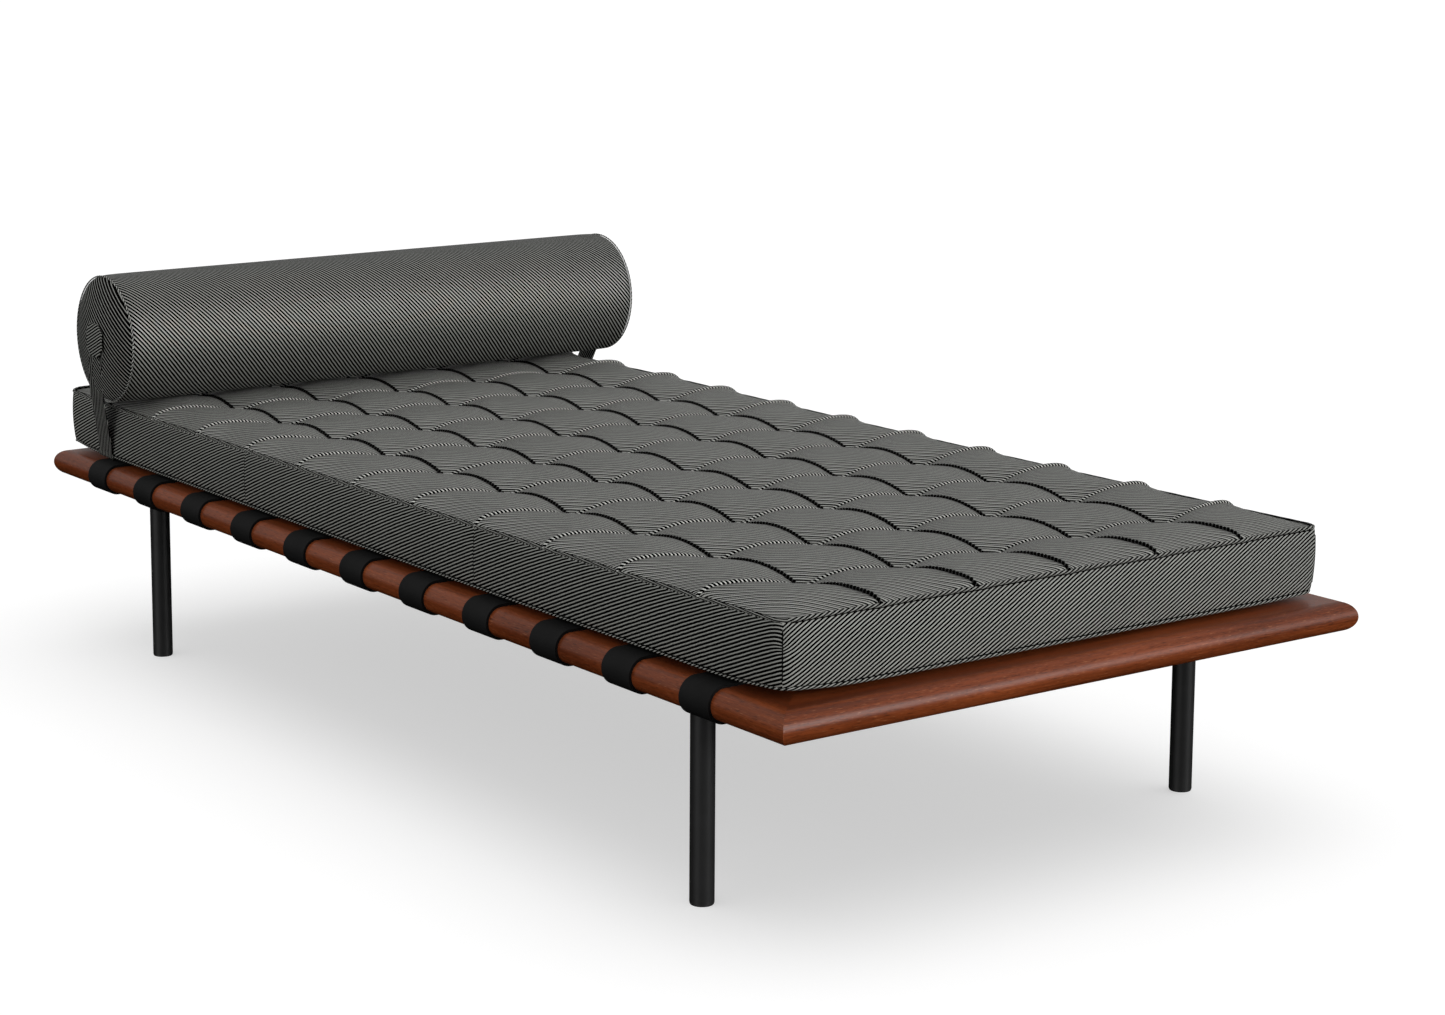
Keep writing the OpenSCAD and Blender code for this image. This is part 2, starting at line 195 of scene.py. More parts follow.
def twill_finish(
    name, light_share, light=(0.235, 0.239, 0.222), dark=(0.0007, 0.0007, 0.0006),
    pairing=0.0, soft=0.22, gloss=1.5,
):
    """Ribbed twill. The weave map runs along the ribs in u and across them in v, in metres.
    The light share is the part of a rib's pitch that is light, soft is how gently light turns
    to dark, and pairing makes every second gap deeper than the one before."""
    finish, tree, surface = new_finish(name, 0.5, 0.5)
    surface.inputs["IOR"].default_value = gloss
    surface.inputs["Specular IOR Level"].default_value = 0.35
    weave = put(tree, "UVMap", uv_map="weave").outputs["UV"]
    split = put(tree, "SeparateXYZ", {"Vector": weave})
    along, across = split.outputs["X"], split.outputs["Y"]
    drift = put(tree, "TexNoise", {"Vector": weave, "Scale": 70.0, "Detail": 2.0}).outputs["Fac"]
    drift = maths(tree, "MULTIPLY", maths(tree, "SUBTRACT", drift, 0.5), 0.0011)
    turns = maths(tree, "MULTIPLY", maths(tree, "ADD", across, drift), 2 * math.pi / RIB_PITCH)
    rib = maths(tree, "SINE", turns)
    thread = maths(
        tree, "SINE", maths(tree, "MULTIPLY_ADD", along, 2 * math.pi / THREAD_PITCH, turns)
    )
    edge = math.cos(math.pi * light_share)
    level = maths(tree, "MULTIPLY_ADD", thread, 0.16, rib)
    if pairing:
        pair = maths(tree, "SINE", maths(tree, "MULTIPLY", turns, 0.5))
        level = maths(tree, "MULTIPLY_ADD", pair, pairing, level)
    mask = put(
        tree, "MapRange",
        {"Value": level, "From Min": edge - soft, "From Max": edge + soft},
        interpolation_type="SMOOTHSTEP",
    ).outputs[0]
    cloud = put(tree, "TexNoise", {"Vector": weave, "Scale": 9.0, "Detail": 3.0}).outputs["Fac"]
    cloud = put(tree, "MapRange", {"Value": cloud, "To Min": 0.88, "To Max": 1.1}).outputs[0]
    flecks = put(
        tree, "TexNoise", {"Vector": weave, "Scale": 900.0, "Detail": 1.0}
    ).outputs["Fac"]
    flecks = put(tree, "MapRange", {"Value": flecks, "To Min": 0.72, "To Max": 1.25}).outputs[0]
    tone = blend_colours(tree, mask, dark, light)
    tone = blend_colours(tree, 1.0, tone, maths(tree, "MULTIPLY", cloud, flecks), "MULTIPLY")
    tree.links.new(tone, surface.inputs["Base Color"])
    dull = put(tree, "MapRange", {"Value": mask, "To Min": 0.95, "To Max": 0.50}).outputs[0]
    tree.links.new(dull, surface.inputs["Roughness"])
    # The gaps are metallic black, so they take no shine at all.
    shine_off = maths(tree, "SUBTRACT", 1.0, mask)
    tree.links.new(shine_off, surface.inputs["Metallic"])
    height = maths(tree, "MULTIPLY_ADD", thread, 0.2, rib)
    raise_surface(tree, surface, height, 0.0004, 0.6)
    return finish


def wood_finish(name, along_y):
    """Reddish hardwood with satin lacquer, its grain along the rail."""
    finish, tree, surface = new_finish(name, 0.33, 0.2)
    place = put(tree, "TexCoord").outputs["Object"]
    turn = (0.0, 0.0, math.pi / 2 if along_y else 0.0)
    grain_at = put(tree, "Mapping", {"Vector": place, "Rotation": turn}).outputs[0]
    long_grain = put(
        tree, "Mapping", {"Vector": grain_at, "Scale": (1.3, 26.0, 26.0)}
    ).outputs[0]
    figure = put(
        tree, "TexNoise", {"Vector": long_grain, "Scale": 1.0, "Detail": 5.0, "Distortion": 0.6}
    ).outputs["Fac"]
    fine = put(tree, "Mapping", {"Vector": grain_at, "Scale": (9.0, 420.0, 420.0)}).outputs[0]
    streak = put(tree, "TexNoise", {"Vector": fine, "Scale": 1.0, "Detail": 3.0}).outputs["Fac"]
    pore_at = put(tree, "Mapping", {"Vector": grain_at, "Scale": (95.0, 900.0, 900.0)}).outputs[0]
    pores = put(tree, "TexNoise", {"Vector": pore_at, "Scale": 1.0, "Detail": 1.0}).outputs["Fac"]
    tone = ramp(
        tree, figure,
        [(0.25, (0.075, 0.0150, 0.0045)), (0.45, (0.145, 0.0310, 0.0080)),
         (0.62, (0.205, 0.046, 0.0120)), (0.8, (0.27, 0.068, 0.018))],
    )
    shade = ramp(tree, streak, [(0.3, 0.72), (0.7, 1.15)])
    tone = blend_colours(tree, 1.0, tone, shade, "MULTIPLY")
    pits = ramp(tree, pores, [(0.30, 0.42), (0.43, 1.0)])
    tone = blend_colours(tree, 0.85, tone, pits, "MULTIPLY")
    flecks = ramp(tree, pores, [(0.64, 0.0), (0.76, 1.0)])
    tone = blend_colours(
        tree, maths(tree, "MULTIPLY", flecks, 0.35), tone, (0.42, 0.17, 0.075)
    )
    tree.links.new(tone, surface.inputs["Base Color"])
    rough = ramp(tree, streak, [(0.2, 0.30), (0.8, 0.42)])
    tree.links.new(rough, surface.inputs["Roughness"])
    surface.inputs["Coat Weight"].default_value = 0.12
    surface.inputs["Coat Roughness"].default_value = 0.25
    raise_surface(tree, surface, pits, 0.00012, 0.5)
    return finish


def plain_finish(name, colour, roughness, specular, grain, depth, metallic=0.0):
    """Paint, rubber, metal or plastic with a fine cloudy surface."""
    finish, tree, surface = new_finish(name, roughness, specular)
    place = put(tree, "TexCoord").outputs["Object"]
    cloud = put(tree, "TexNoise", {"Vector": place, "Scale": 22.0, "Detail": 3.0}).outputs["Fac"]
    low = tuple(0.86 * c for c in colour)
    high = tuple(1.14 * c for c in colour)
    tree.links.new(ramp(tree, cloud, [(0.3, low), (0.7, high)]), surface.inputs["Base Color"])
    speck = put(tree, "TexNoise", {"Vector": place, "Scale": grain, "Detail": 2.0}).outputs["Fac"]
    rough = put(
        tree, "MapRange",
        {"Value": speck, "To Min": roughness - 0.07, "To Max": roughness + 0.07},
    ).outputs[0]
    tree.links.new(rough, surface.inputs["Roughness"])
    surface.inputs["Metallic"].default_value = metallic
    raise_surface(tree, surface, speck, depth, 0.5)
    return finish


# ---------------------------------------------------------------- modelling helpers


def deselect_all():
    for piece in bpy.context.selected_objects:
        piece.select_set(False)


def take(piece):
    """Makes piece the only chosen object."""
    deselect_all()
    piece.select_set(True)
    bpy.context.view_layer.objects.active = piece


def settle(piece):
    """Puts the object at the origin, unturned and unscaled, with its place in its mesh."""
    take(piece)
    bpy.ops.object.transform_apply(location=True, rotation=True, scale=True)


def points_of(piece):
    flat = np.empty(len(piece.data.vertices) * 3)
    piece.data.vertices.foreach_get("co", flat)
    return flat.reshape(-1, 3)


def set_points(piece, points):
    piece.data.vertices.foreach_set("co", np.ascontiguousarray(points, float).ravel())
    piece.data.update()


def choose_edges_along(piece, axis):
    """Goes into edit mode with only the edges that run along one axis chosen."""
    take(piece)
    bpy.ops.object.mode_set(mode="EDIT")
    bpy.ops.mesh.select_mode(type="EDGE")
    bpy.ops.mesh.select_all(action="DESELECT")
    bpy.ops.object.mode_set(mode="OBJECT")
    ends = np.empty(len(piece.data.edges) * 2, int)
    piece.data.edges.foreach_get("vertices", ends)
    points = points_of(piece)
    run = np.abs(points[ends[0::2]] - points[ends[1::2]])
    piece.data.edges.foreach_set("select", run.argmax(1) == axis)
    bpy.ops.object.mode_set(mode="EDIT")


def add_modifier(piece, kind, **settings):
    made = piece.modifiers.new(kind.lower(), kind)
    for key, value in settings.items():
        setattr(made, key, value)
    return made


def apply_modifier(piece, modifier):
    take(piece)
    bpy.ops.object.modifier_apply(modifier=modifier.name)


def smooth(piece):
    take(piece)
    bpy.ops.object.shade_smooth()


def corners_of(piece):
    """For each face corner its vertex and its face, and for each face its middle."""
    mesh = piece.data
    vertex = np.empty(len(mesh.loops), int)
    mesh.loops.foreach_get("vertex_index", vertex)
    sizes = np.empty(len(mesh.polygons), int)
    mesh.polygons.foreach_get("loop_total", sizes)
    middle = np.empty(len(mesh.polygons) * 3)
    mesh.polygons.foreach_get("center", middle)
    face = np.repeat(np.arange(len(sizes)), sizes)
    return vertex, face, middle.reshape(-1, 3)


def weave_map(piece):
    layers = piece.data.uv_layers
    return layers.get("weave") or layers.new(name="weave")


def lay_weave(piece, right, up, lean, stretch=1.0):
    """Sets the weave map from flat coordinates right and up, the ribs leaning by lean radians."""
    along = right * np.cos(lean) + up * np.sin(lean)
    across = (up * np.cos(lean) - right * np.sin(lean)) / stretch
    weave_map(piece).data.foreach_set("uv", np.stack([along, across], 1).ravel())


def puff(piece, pinned, pressure, frames, most, stiffness=15.0):
    """Lets the cloth swell under a soft pressure from inside, held along its seams, and keeps
    each point within a set distance of where it was."""
    before = points_of(piece)
    sewn = piece.vertex_groups.new(name="sewn")
    for weight in np.unique(np.round(pinned, 2)):
        if weight > 0:
            chosen = np.flatnonzero(np.abs(pinned - weight) < 0.006)
            sewn.add(chosen.tolist(), float(weight), "REPLACE")
    cloth = piece.modifiers.new("cloth", "CLOTH")
    cloth.settings.quality = 5
    cloth.settings.mass = 0.25
    cloth.settings.tension_stiffness = stiffness
    cloth.settings.compression_stiffness = stiffness
    cloth.settings.shear_stiffness = stiffness / 3
    cloth.settings.bending_stiffness = 0.4
    cloth.settings.use_pressure = True
    cloth.settings.uniform_pressure_force = pressure
    cloth.settings.effector_weights.gravity = 0.0
    cloth.settings.vertex_group_mass = "sewn"
    cloth.point_cache.frame_start = 1
    cloth.point_cache.frame_end = frames
    for number in range(1, frames + 1):
        bpy.context.scene.frame_set(number)
    apply_modifier(piece, cloth)
    bpy.context.scene.frame_set(1)
    moved = points_of(piece) - before
    length = np.linalg.norm(moved, axis=1)
    moved *= np.minimum(1.0, most / np.maximum(length, 1e-9))[:, None]
    set_points(piece, before + moved)
    piece.vertex_groups.clear()


# ---------------------------------------------------------------- mattress

PANELS_LONG, PANELS_WIDE = 12, 6
CELLS = 12
BOXING_CELLS = 8
SEAM_ARCH = 0.0185
CROWN = 0.0045
TUFT = 0.3965
TOP_LIMIT = 0.0048
RIM_SAG = 0.0065
SEAM_LEAN = 0.031
CORNER = 0.022
CORNER_STEPS = 6
CORNER_REACH = 0.065
FAR_SIDE_LIFT = 0.3
BOW = 0.0022
JOINT_PANELS = (4, 8)
JOINT_NIP = 0.0012
JOINT_BOLTS = (0.0019, 0.0014)
TOP, NEAR, FAR, HEAD, FOOT, UNDER = range(6)


def drawn_to_seams(t):
    """Moves grid lines closer to the seams of a panel."""
    return t - 0.55 * np.sin(2 * math.pi * t) / (2 * math.pi)


def ease(t):
    t = np.clip(t, 0.0, 1.0)
    return t * t * (3 - 2 * t)


def held_under(height, roof, soft=0.003):
    """Heights eased off so that none passes the roof."""
    over = np.maximum(height - roof + soft, 0.0)
    return height - over + soft * (1 - np.exp(-over / soft))


def rim_sag(gx):
    """How far the long edges hang below the corners, gx counted in panels from the head."""
    from_head = np.clip(gx / PANELS_LONG, 0.0, 1.0)
    pressed = 0.0035 * np.exp(-(((gx - 1.3) / 0.9) ** 2))
    return RIM_SAG * np.sin(math.pi * from_head) ** 0.7 + pressed


def seam_drift(gx, gy):
    """How far the cross seams wander along the bed: towards the head at the near edge, and
    towards the foot in the last row of tufts."""
    near = 1 - ease(gy / 2.2)
    inner = ease(np.minimum(gy, PANELS_WIDE - gy) / 0.9)
    last = np.exp(-(((gx - PANELS_LONG + 1) / 0.75) ** 2)) * ease((PANELS_LONG - gx) / 0.8)
    return 0.012 * inner * last - SEAM_LEAN * near * np.sin(math.pi * gx / PANELS_LONG)


def quilt_height(gx, gy, tufts, plumpness):
    """Height of the quilted top at grid place gx, gy, counted in panels."""
    ix = np.clip(gx.astype(int), 0, PANELS_LONG - 1)
    iy = np.clip(gy.astype(int), 0, PANELS_WIDE - 1)
    u, v = np.clip(gx - ix, 0, 1), np.clip(gy - iy, 0, 1)
    base = (
        tufts[ix, iy] * (1 - u) * (1 - v) + tufts[ix + 1, iy] * u * (1 - v)
        + tufts[ix, iy + 1] * (1 - u) * v + tufts[ix + 1, iy + 1] * u * v
    )
    calm_y = ease(np.minimum(gy, PANELS_WIDE - gy) / 0.6)
    calm_x = ease(np.minimum(gx, PANELS_LONG - gx) / 0.6)
    across_mid, along_mid = np.sin(math.pi * u), np.sin(math.pi * v)
    swell = (across_mid * along_mid) ** 0.6 * calm_x * calm_y
    # Beside the rim the seams rise steeply from the welt and fall slowly to the first tuft, and
    # between the seams the cloth rises gently.
    u = np.where(ix == 0, u ** 0.75, np.where(ix == PANELS_LONG - 1, 1 - (1 - u) ** 0.75, u))
    v = np.where(iy == 0, v ** 0.75, np.where(iy == PANELS_WIDE - 1, 1 - (1 - v) ** 0.75, v))
    end_panel = (ix == 0) | (ix == PANELS_LONG - 1)
    side_panel = (iy == 0) | (iy == PANELS_WIDE - 1)
    arch_u = np.sin(math.pi * u) ** 0.8 * (1 - 0.8 * end_panel * along_mid * (1 - calm_x))
    arch_v = np.sin(math.pi * v) ** 0.7 * (1 - 0.8 * side_panel * across_mid * (1 - calm_y))
    arch_u *= 0.02 + 0.98 * calm_y
    arch_v *= 0.02 + 0.98 * calm_x
    from_corner = np.minimum(gx, PANELS_LONG - gx) + np.minimum(gy, PANELS_WIDE - gy)
    lift = (1 - (1 - arch_u) * (1 - arch_v)) * ease(0.25 + from_corner / 1.1)
    seams = held_under(base + SEAM_ARCH * lift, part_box("mattress_cover")[1].z - 0.0002)
    return seams + CROWN * plumpness[ix, iy] * swell


def make_mattress(finishes):
    low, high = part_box("mattress_cover")
    rim_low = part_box("welt_bottom")[0].z + 0.0035
    rim_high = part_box("welt_top")[1].z - 0.0045
    bpy.ops.mesh.primitive_cube_add(
        size=1.0, location=(low + high) / 2, scale=high - low
    )
    mattress = bpy.context.object
    mattress.name = "mattress"
    settle(mattress)
    for axis, cells in (
        (0, PANELS_LONG), (0, CELLS), (1, PANELS_WIDE), (1, CELLS), (2, BOXING_CELLS)
    ):
        choose_edges_along(mattress, axis)
        bpy.ops.mesh.subdivide(number_cuts=cells - 1)
        bpy.ops.object.mode_set(mode="OBJECT")

    block = points_of(mattress)
    share = (block - np.array(low)) / np.array(high - low)
    gx, gy, gz = share[:, 0] * PANELS_LONG, share[:, 1] * PANELS_WIDE, share[:, 2]
    ix, iy = np.floor(gx + 1e-5), np.floor(gy + 1e-5)
    gx = ix + drawn_to_seams(np.clip(gx - ix, 0, 1))
    gy = iy + drawn_to_seams(np.clip(gy - iy, 0, 1))
    gx, gy = np.clip(gx, 0, PANELS_LONG), np.clip(gy, 0, PANELS_WIDE)

    tufts = np.full((PANELS_LONG + 1, PANELS_WIDE + 1), rim_high)
    tufts[1:-1, 1:-1] = TUFT + DRAWS.uniform(-0.001, 0.001, (PANELS_LONG - 1, PANELS_WIDE - 1))
    tufts[1:-1, 0] -= 0.0012
    tufts[1:-1, -1] -= 0.0012
    tufts[:, 0] -= rim_sag(np.arange(PANELS_LONG + 1))
    tufts[:, -1] -= rim_sag(np.arange(PANELS_LONG + 1))
    plumpness = DRAWS.uniform(0.9, 1.06, (PANELS_LONG, PANELS_WIDE))

    top, bottom = gz > 1 - CLOSE, gz < CLOSE
    size = np.array(high - low)
    place = np.empty_like(block)
    place[:, 0] = low.x + gx / PANELS_LONG * size[0] + seam_drift(gx, gy)
    place[:, 1] = low.y + gy / PANELS_WIDE * size[1]
    rim = quilt_height(gx, gy, tufts, plumpness)
    place[:, 2] = rim_low + gz * (np.where(top, rim, np.minimum(rim, rim_high)) - rim_low)
    place[top, 2] = rim[top]

    # The underside bellies down onto the straps.
    inner = np.minimum.reduce([gx, PANELS_LONG - gx, gy, PANELS_WIDE - gy])
    place[bottom, 2] = rim_low - (rim_low - low.z) * ease(inner[bottom] / 0.22)

    # The boxing draws in at the welts and at its two joints, and bows out between them.
    bow = np.sin(math.pi * np.clip(gz, 0, 1))
    bow[top | bottom] = 0.0
    middle = np.array((low + high) / 2)
    from_middle = place - middle
    reach_x = np.abs(from_middle[:, 0]) > size[0] / 2 - CLOSE
    reach_y = np.abs(from_middle[:, 1]) > size[1] / 2 - CLOSE
    place[:, 0] += np.sign(from_middle[:, 0]) * (BOW * bow - BOW) * reach_x
    place[:, 1] += np.sign(from_middle[:, 1]) * (BOW * bow - BOW) * reach_y
    joint = np.minimum(*(np.abs(gx - panel) for panel in JOINT_PANELS))
    nip = JOINT_NIP * np.exp(-((joint / 0.03) ** 2)) * reach_y * ~top * ~bottom
    place[:, 1] -= np.sign(from_middle[:, 1]) * nip

    # Rounded upright corners, which draw in and lift a little at the bottom.
    place = rounded_corners(place, middle, size / 2)
    set_points(mattress, place)

    seam = (np.abs(gx - np.round(gx)) < CLOSE) | (np.abs(gy - np.round(gy)) < CLOSE)
    edge = reach_x | reach_y
    pinned = np.where(top & seam, 1.0, 0.0)
    pinned[bottom] = 1.0
    pinned[edge & (top | bottom)] = 1.0
    corner = reach_x & reach_y
    pinned[corner] = 0.9
    puff(mattress, pinned, pressure=2.2, frames=9, most=0.004)
    shaped = points_of(mattress)
    shaped[:, 2] = held_under(shaped[:, 2], high.z + TOP_LIMIT)
    set_points(mattress, shaped)
    lines = seam_lines(gx, gy, gz, top, shaped)

    # Top, two long sides, two ends and underside, told apart before the mesh is made finer.
    vertex, face, centre = corners_of(mattress)
    region = np.full(len(centre), TOP)
    votes = np.stack([gz[vertex], gx[vertex], gy[vertex]], 1)
    mins = np.full((len(centre), 3), 99.0)
    maxs = np.full((len(centre), 3), -99.0)
    np.minimum.at(mins, face, votes)
    np.maximum.at(maxs, face, votes)
    region[maxs[:, 0] < CLOSE] = UNDER
    side = (mins[:, 0] < 1 - CLOSE) & (maxs[:, 0] > CLOSE)
    region[side & (maxs[:, 2] < CLOSE)] = NEAR
    region[side & (mins[:, 2] > PANELS_WIDE - CLOSE)] = FAR
    region[side & (maxs[:, 1] < CLOSE)] = HEAD
    region[side & (mins[:, 1] > PANELS_LONG - CLOSE)] = FOOT
    for finish in finishes:
        mattress.data.materials.append(finish)
    mattress.data.polygons.foreach_set("material_index", region)
    refine = add_modifier(mattress, "SUBSURF", levels=1, render_levels=1)
    apply_modifier(mattress, refine)

    vertex, face, centre = corners_of(mattress)
    region = np.empty(len(centre), int)
    mattress.data.polygons.foreach_get("material_index", region)
    at = points_of(mattress)[vertex]
    kind = region[face]
    flat = (kind == TOP) | (kind == UNDER)
    on_side = (kind == NEAR) | (kind == FAR)
    right = np.select(
        [kind == FAR, kind == HEAD, kind == FOOT], [-at[:, 0], -at[:, 1], at[:, 1]], at[:, 0]
    )
    # On the boxing the ribs carry on round the bend into the top seam.
    inset = np.where(
        on_side, high.y - np.abs(at[:, 1]), size[0] / 2 - np.abs(at[:, 0] - middle[0])
    )
    bend = np.clip(inset, 0, 0.012) * ease((at[:, 2] - middle[2]) / 0.015)
    up = np.where(flat, at[:, 1], at[:, 2] + bend)
    lean = np.select([flat, on_side], [LEANS["top"], LEANS["side"]], LEANS["end"])
    corner_strip = ~flat & ~on_side & (np.abs(centre[face, 1]) > high.y - 0.0075)
    lean = np.where(corner_strip, LEANS["end_corner"], lean)
    # Past each joint of the boxing the ribs of the next length of cloth don't line up.
    for panel, bolt in zip(JOINT_PANELS, JOINT_BOLTS):
        drift = SEAM_LEAN * math.sin(math.pi * panel / PANELS_LONG)
        joint_x = low.x + size[0] * panel / PANELS_LONG - drift
        up = up + on_side * (centre[face, 0] > joint_x) * bolt
    lay_weave(mattress, right, up, lean, np.where(on_side, 0.94, 0.98))
    slots = np.array([0, 1, 1, 2, 2, 1])
    mattress.data.polygons.foreach_set("material_index", slots[region])
    smooth(mattress)
    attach(mattress, "base")
    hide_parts("mattress_cover", "mattress_core")
    return lines


def rounded_corners(place, middle, half):
    """The block's points with its upright corners rounded, drawn in and lifted."""
    out = place.copy()
    rel = place - middle
    sign = np.sign(rel)
    into = half[:2] - np.abs(rel[:, :2])
    near = (into[:, 0] < CORNER) & (into[:, 1] < CORNER)
    away = CORNER - into[near]
    farthest = np.maximum(away.max(1), 1e-9)
    length = np.linalg.norm(away, axis=1)
    scale = np.where(length > 1e-9, farthest / np.maximum(length, 1e-9), 1.0)
    out[near, :2] = middle[:2] + sign[near, :2] * (half[:2] - CORNER + away * scale[:, None])
    low_share = np.clip(1 - (place[:, 2] - (middle[2] - half[2])) / (2 * half[2]), 0, 1) ** 2
    pull = np.exp(-((into[:, 0] + into[:, 1]) / CORNER_REACH) ** 2) * low_share
    out[:, :2] -= sign[:, :2] * (0.002 * pull)[:, None]
    out[:, 2] += 0.0055 * pull * np.where(rel[:, 1] < 0, 1.0, FAR_SIDE_LIFT)
    return out


def seam_lines(gx, gy, gz, top, shaped):
    """Rows of points along the seams: across the top, along it, and up the boxing."""
    across, along, upright = [], [], []
    for i in range(1, PANELS_LONG):
        row = np.flatnonzero(top & (np.abs(gx - i) < CLOSE))
        across.append(shaped[row[np.argsort(gy[row])]])
    for j in range(1, PANELS_WIDE):
        row = np.flatnonzero(top & (np.abs(gy - j) < CLOSE))
        along.append(shaped[row[np.argsort(gx[row])]])
    for i in (0, *JOINT_PANELS, PANELS_LONG):
        for j in (0, PANELS_WIDE):
            row = np.flatnonzero((np.abs(gx - i) < CLOSE) & (np.abs(gy - j) < CLOSE))
            upright.append(shaped[row[np.argsort(gz[row])]])
    return across, along, upright


CORD_STEP = 0.0035
POINTS_PER_RIB = 4


def resampled(line, step):
    """The same line with points a set step apart, its bends rounded."""
    for _ in range(2):
        line = np.r_[line[:1], (line[:-2] + 2 * line[1:-1] + line[2:]) / 4, line[-1:]]
    run = np.r_[0.0, np.cumsum(np.linalg.norm(np.diff(line, axis=0), axis=1))]
    marks = np.linspace(0, run[-1], max(4, int(run[-1] / step)))
    fine = np.stack([np.interp(marks, run, line[:, k]) for k in range(3)], 1)
    for _ in range(3):
        fine[1:-1] = (fine[:-2] + 2 * fine[1:-1] + fine[2:]) / 4
    return fine


def lay_cords(
    name, lines, radius, closed, winding, finish, body, long_winding=None, sides=2, teeth=0.0,
    long_radius=1.0,
):
    """Cords that follow lines of points, each covered in bias cloth whose ribs wind round it.
    A winding is (length of one rib's turn along the cord, number of ribs round it). Teeth is
    how much the ribs bulge, as a share of the radius, and the long radius is the share of it
    that a cord keeps where it runs along X."""
    pieces = []
    for line in lines:
        if not closed:
            line = resampled(line, winding[0] / POINTS_PER_RIB if teeth else CORD_STEP)
        curve = bpy.data.curves.new(name, "CURVE")
        curve.dimensions = "3D"
        curve.bevel_depth = radius
        curve.bevel_resolution = sides
        curve.use_fill_caps = not closed
        spline = curve.splines.new("POLY")
        spline.points.add(len(line) - 1)
        spline.points.foreach_set("co", np.c_[line, np.ones(len(line))].ravel())
        spline.use_cyclic_u = closed
        if teeth:
            turns = np.arange(len(line)) / POINTS_PER_RIB
            swell = 1 + teeth * np.cos(2 * math.pi * turns)
            spline.points.foreach_set("radius", swell)
        if long_radius != 1.0:
            slim = np.abs(np.gradient(line, axis=0))
            slim = slim[:, 0] / np.maximum(slim.sum(1), 1e-9)
            slim[0] = slim[1]
            slim[-1] = 0.0
            spline.points.foreach_set("radius", 1 + (long_radius - 1) * slim)
        cord = bpy.data.objects.new(name, curve)
        bpy.context.scene.collection.objects.link(cord)
        take(cord)
        bpy.ops.object.convert(target="MESH")
        wind_weave(bpy.context.object, line, closed, winding, long_winding or winding)
        pieces.append(bpy.context.object)
    deselect_all()
    for piece in pieces:
        piece.select_set(True)
    bpy.context.view_layer.objects.active = pieces[0]
    if len(pieces) > 1:
        bpy.ops.object.join()
    cord = bpy.context.object
    cord.name = name
    cord.data.materials.clear()
    cord.data.materials.append(finish)
    smooth(cord)
    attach(cord, body)
    return cord


def wind_weave(cord, line, closed, winding, long_winding):
    """Lays the weave map so that the ribs wind round the cord like the strands of a rope.
    Where the cord runs along X it has the second winding."""
    steps = np.r_[0.0, np.cumsum(np.linalg.norm(np.diff(line, axis=0), axis=1))]
    ahead = np.gradient(line, axis=0)
    if closed:
        ahead[0] = line[1] - line[-1]
        ahead[-1] = line[0] - line[-2]
    ahead /= np.linalg.norm(ahead, axis=1)[:, None]
    tree = kdtree.KDTree(len(line))
    for i, p in enumerate(line):
        tree.insert(p, i)
    tree.balance()
    points = points_of(cord)
    nearest = np.array([tree.find(p)[1] for p in points])
    off = points - line[nearest]
    run = steps[nearest] + (off * ahead[nearest]).sum(1)
    side = np.cross(ahead[nearest], (0.0, 0.0, 1.0))
    side /= np.maximum(np.linalg.norm(side, axis=1), 1e-9)[:, None]
    rise = np.cross(side, ahead[nearest])
    angle = np.arctan2((off * rise).sum(1), (off * side).sum(1)) / (2 * math.pi)
    vertex, face, centre = corners_of(cord)
    a, s = angle[vertex], run[vertex]
    first = np.zeros(len(centre))
    first[face[::-1]] = a[::-1]
    a = a - np.round(a - first[face])
    opening = np.zeros(len(centre))
    opening[face[::-1]] = s[::-1]
    if closed:
        total = steps[-1] + np.linalg.norm(line[0] - line[-1])
        s = s - np.round((s - opening[face]) / total) * total
    lengthwise = np.zeros(len(centre), bool)
    lengthwise[face] = np.abs(ahead[nearest[vertex], 0]) > 0.7
    lengthwise = lengthwise[face]
    period = np.where(lengthwise, long_winding[0], winding[0])
    turns = np.where(lengthwise, long_winding[1], winding[1])
    across = RIB_PITCH * (s / period + turns * a)
    weave_map(cord).data.foreach_set("uv", np.stack([s, across], 1).ravel())
    for other in [x for x in cord.data.uv_layers if x.name != "weave"]:
        cord.data.uv_layers.remove(other)


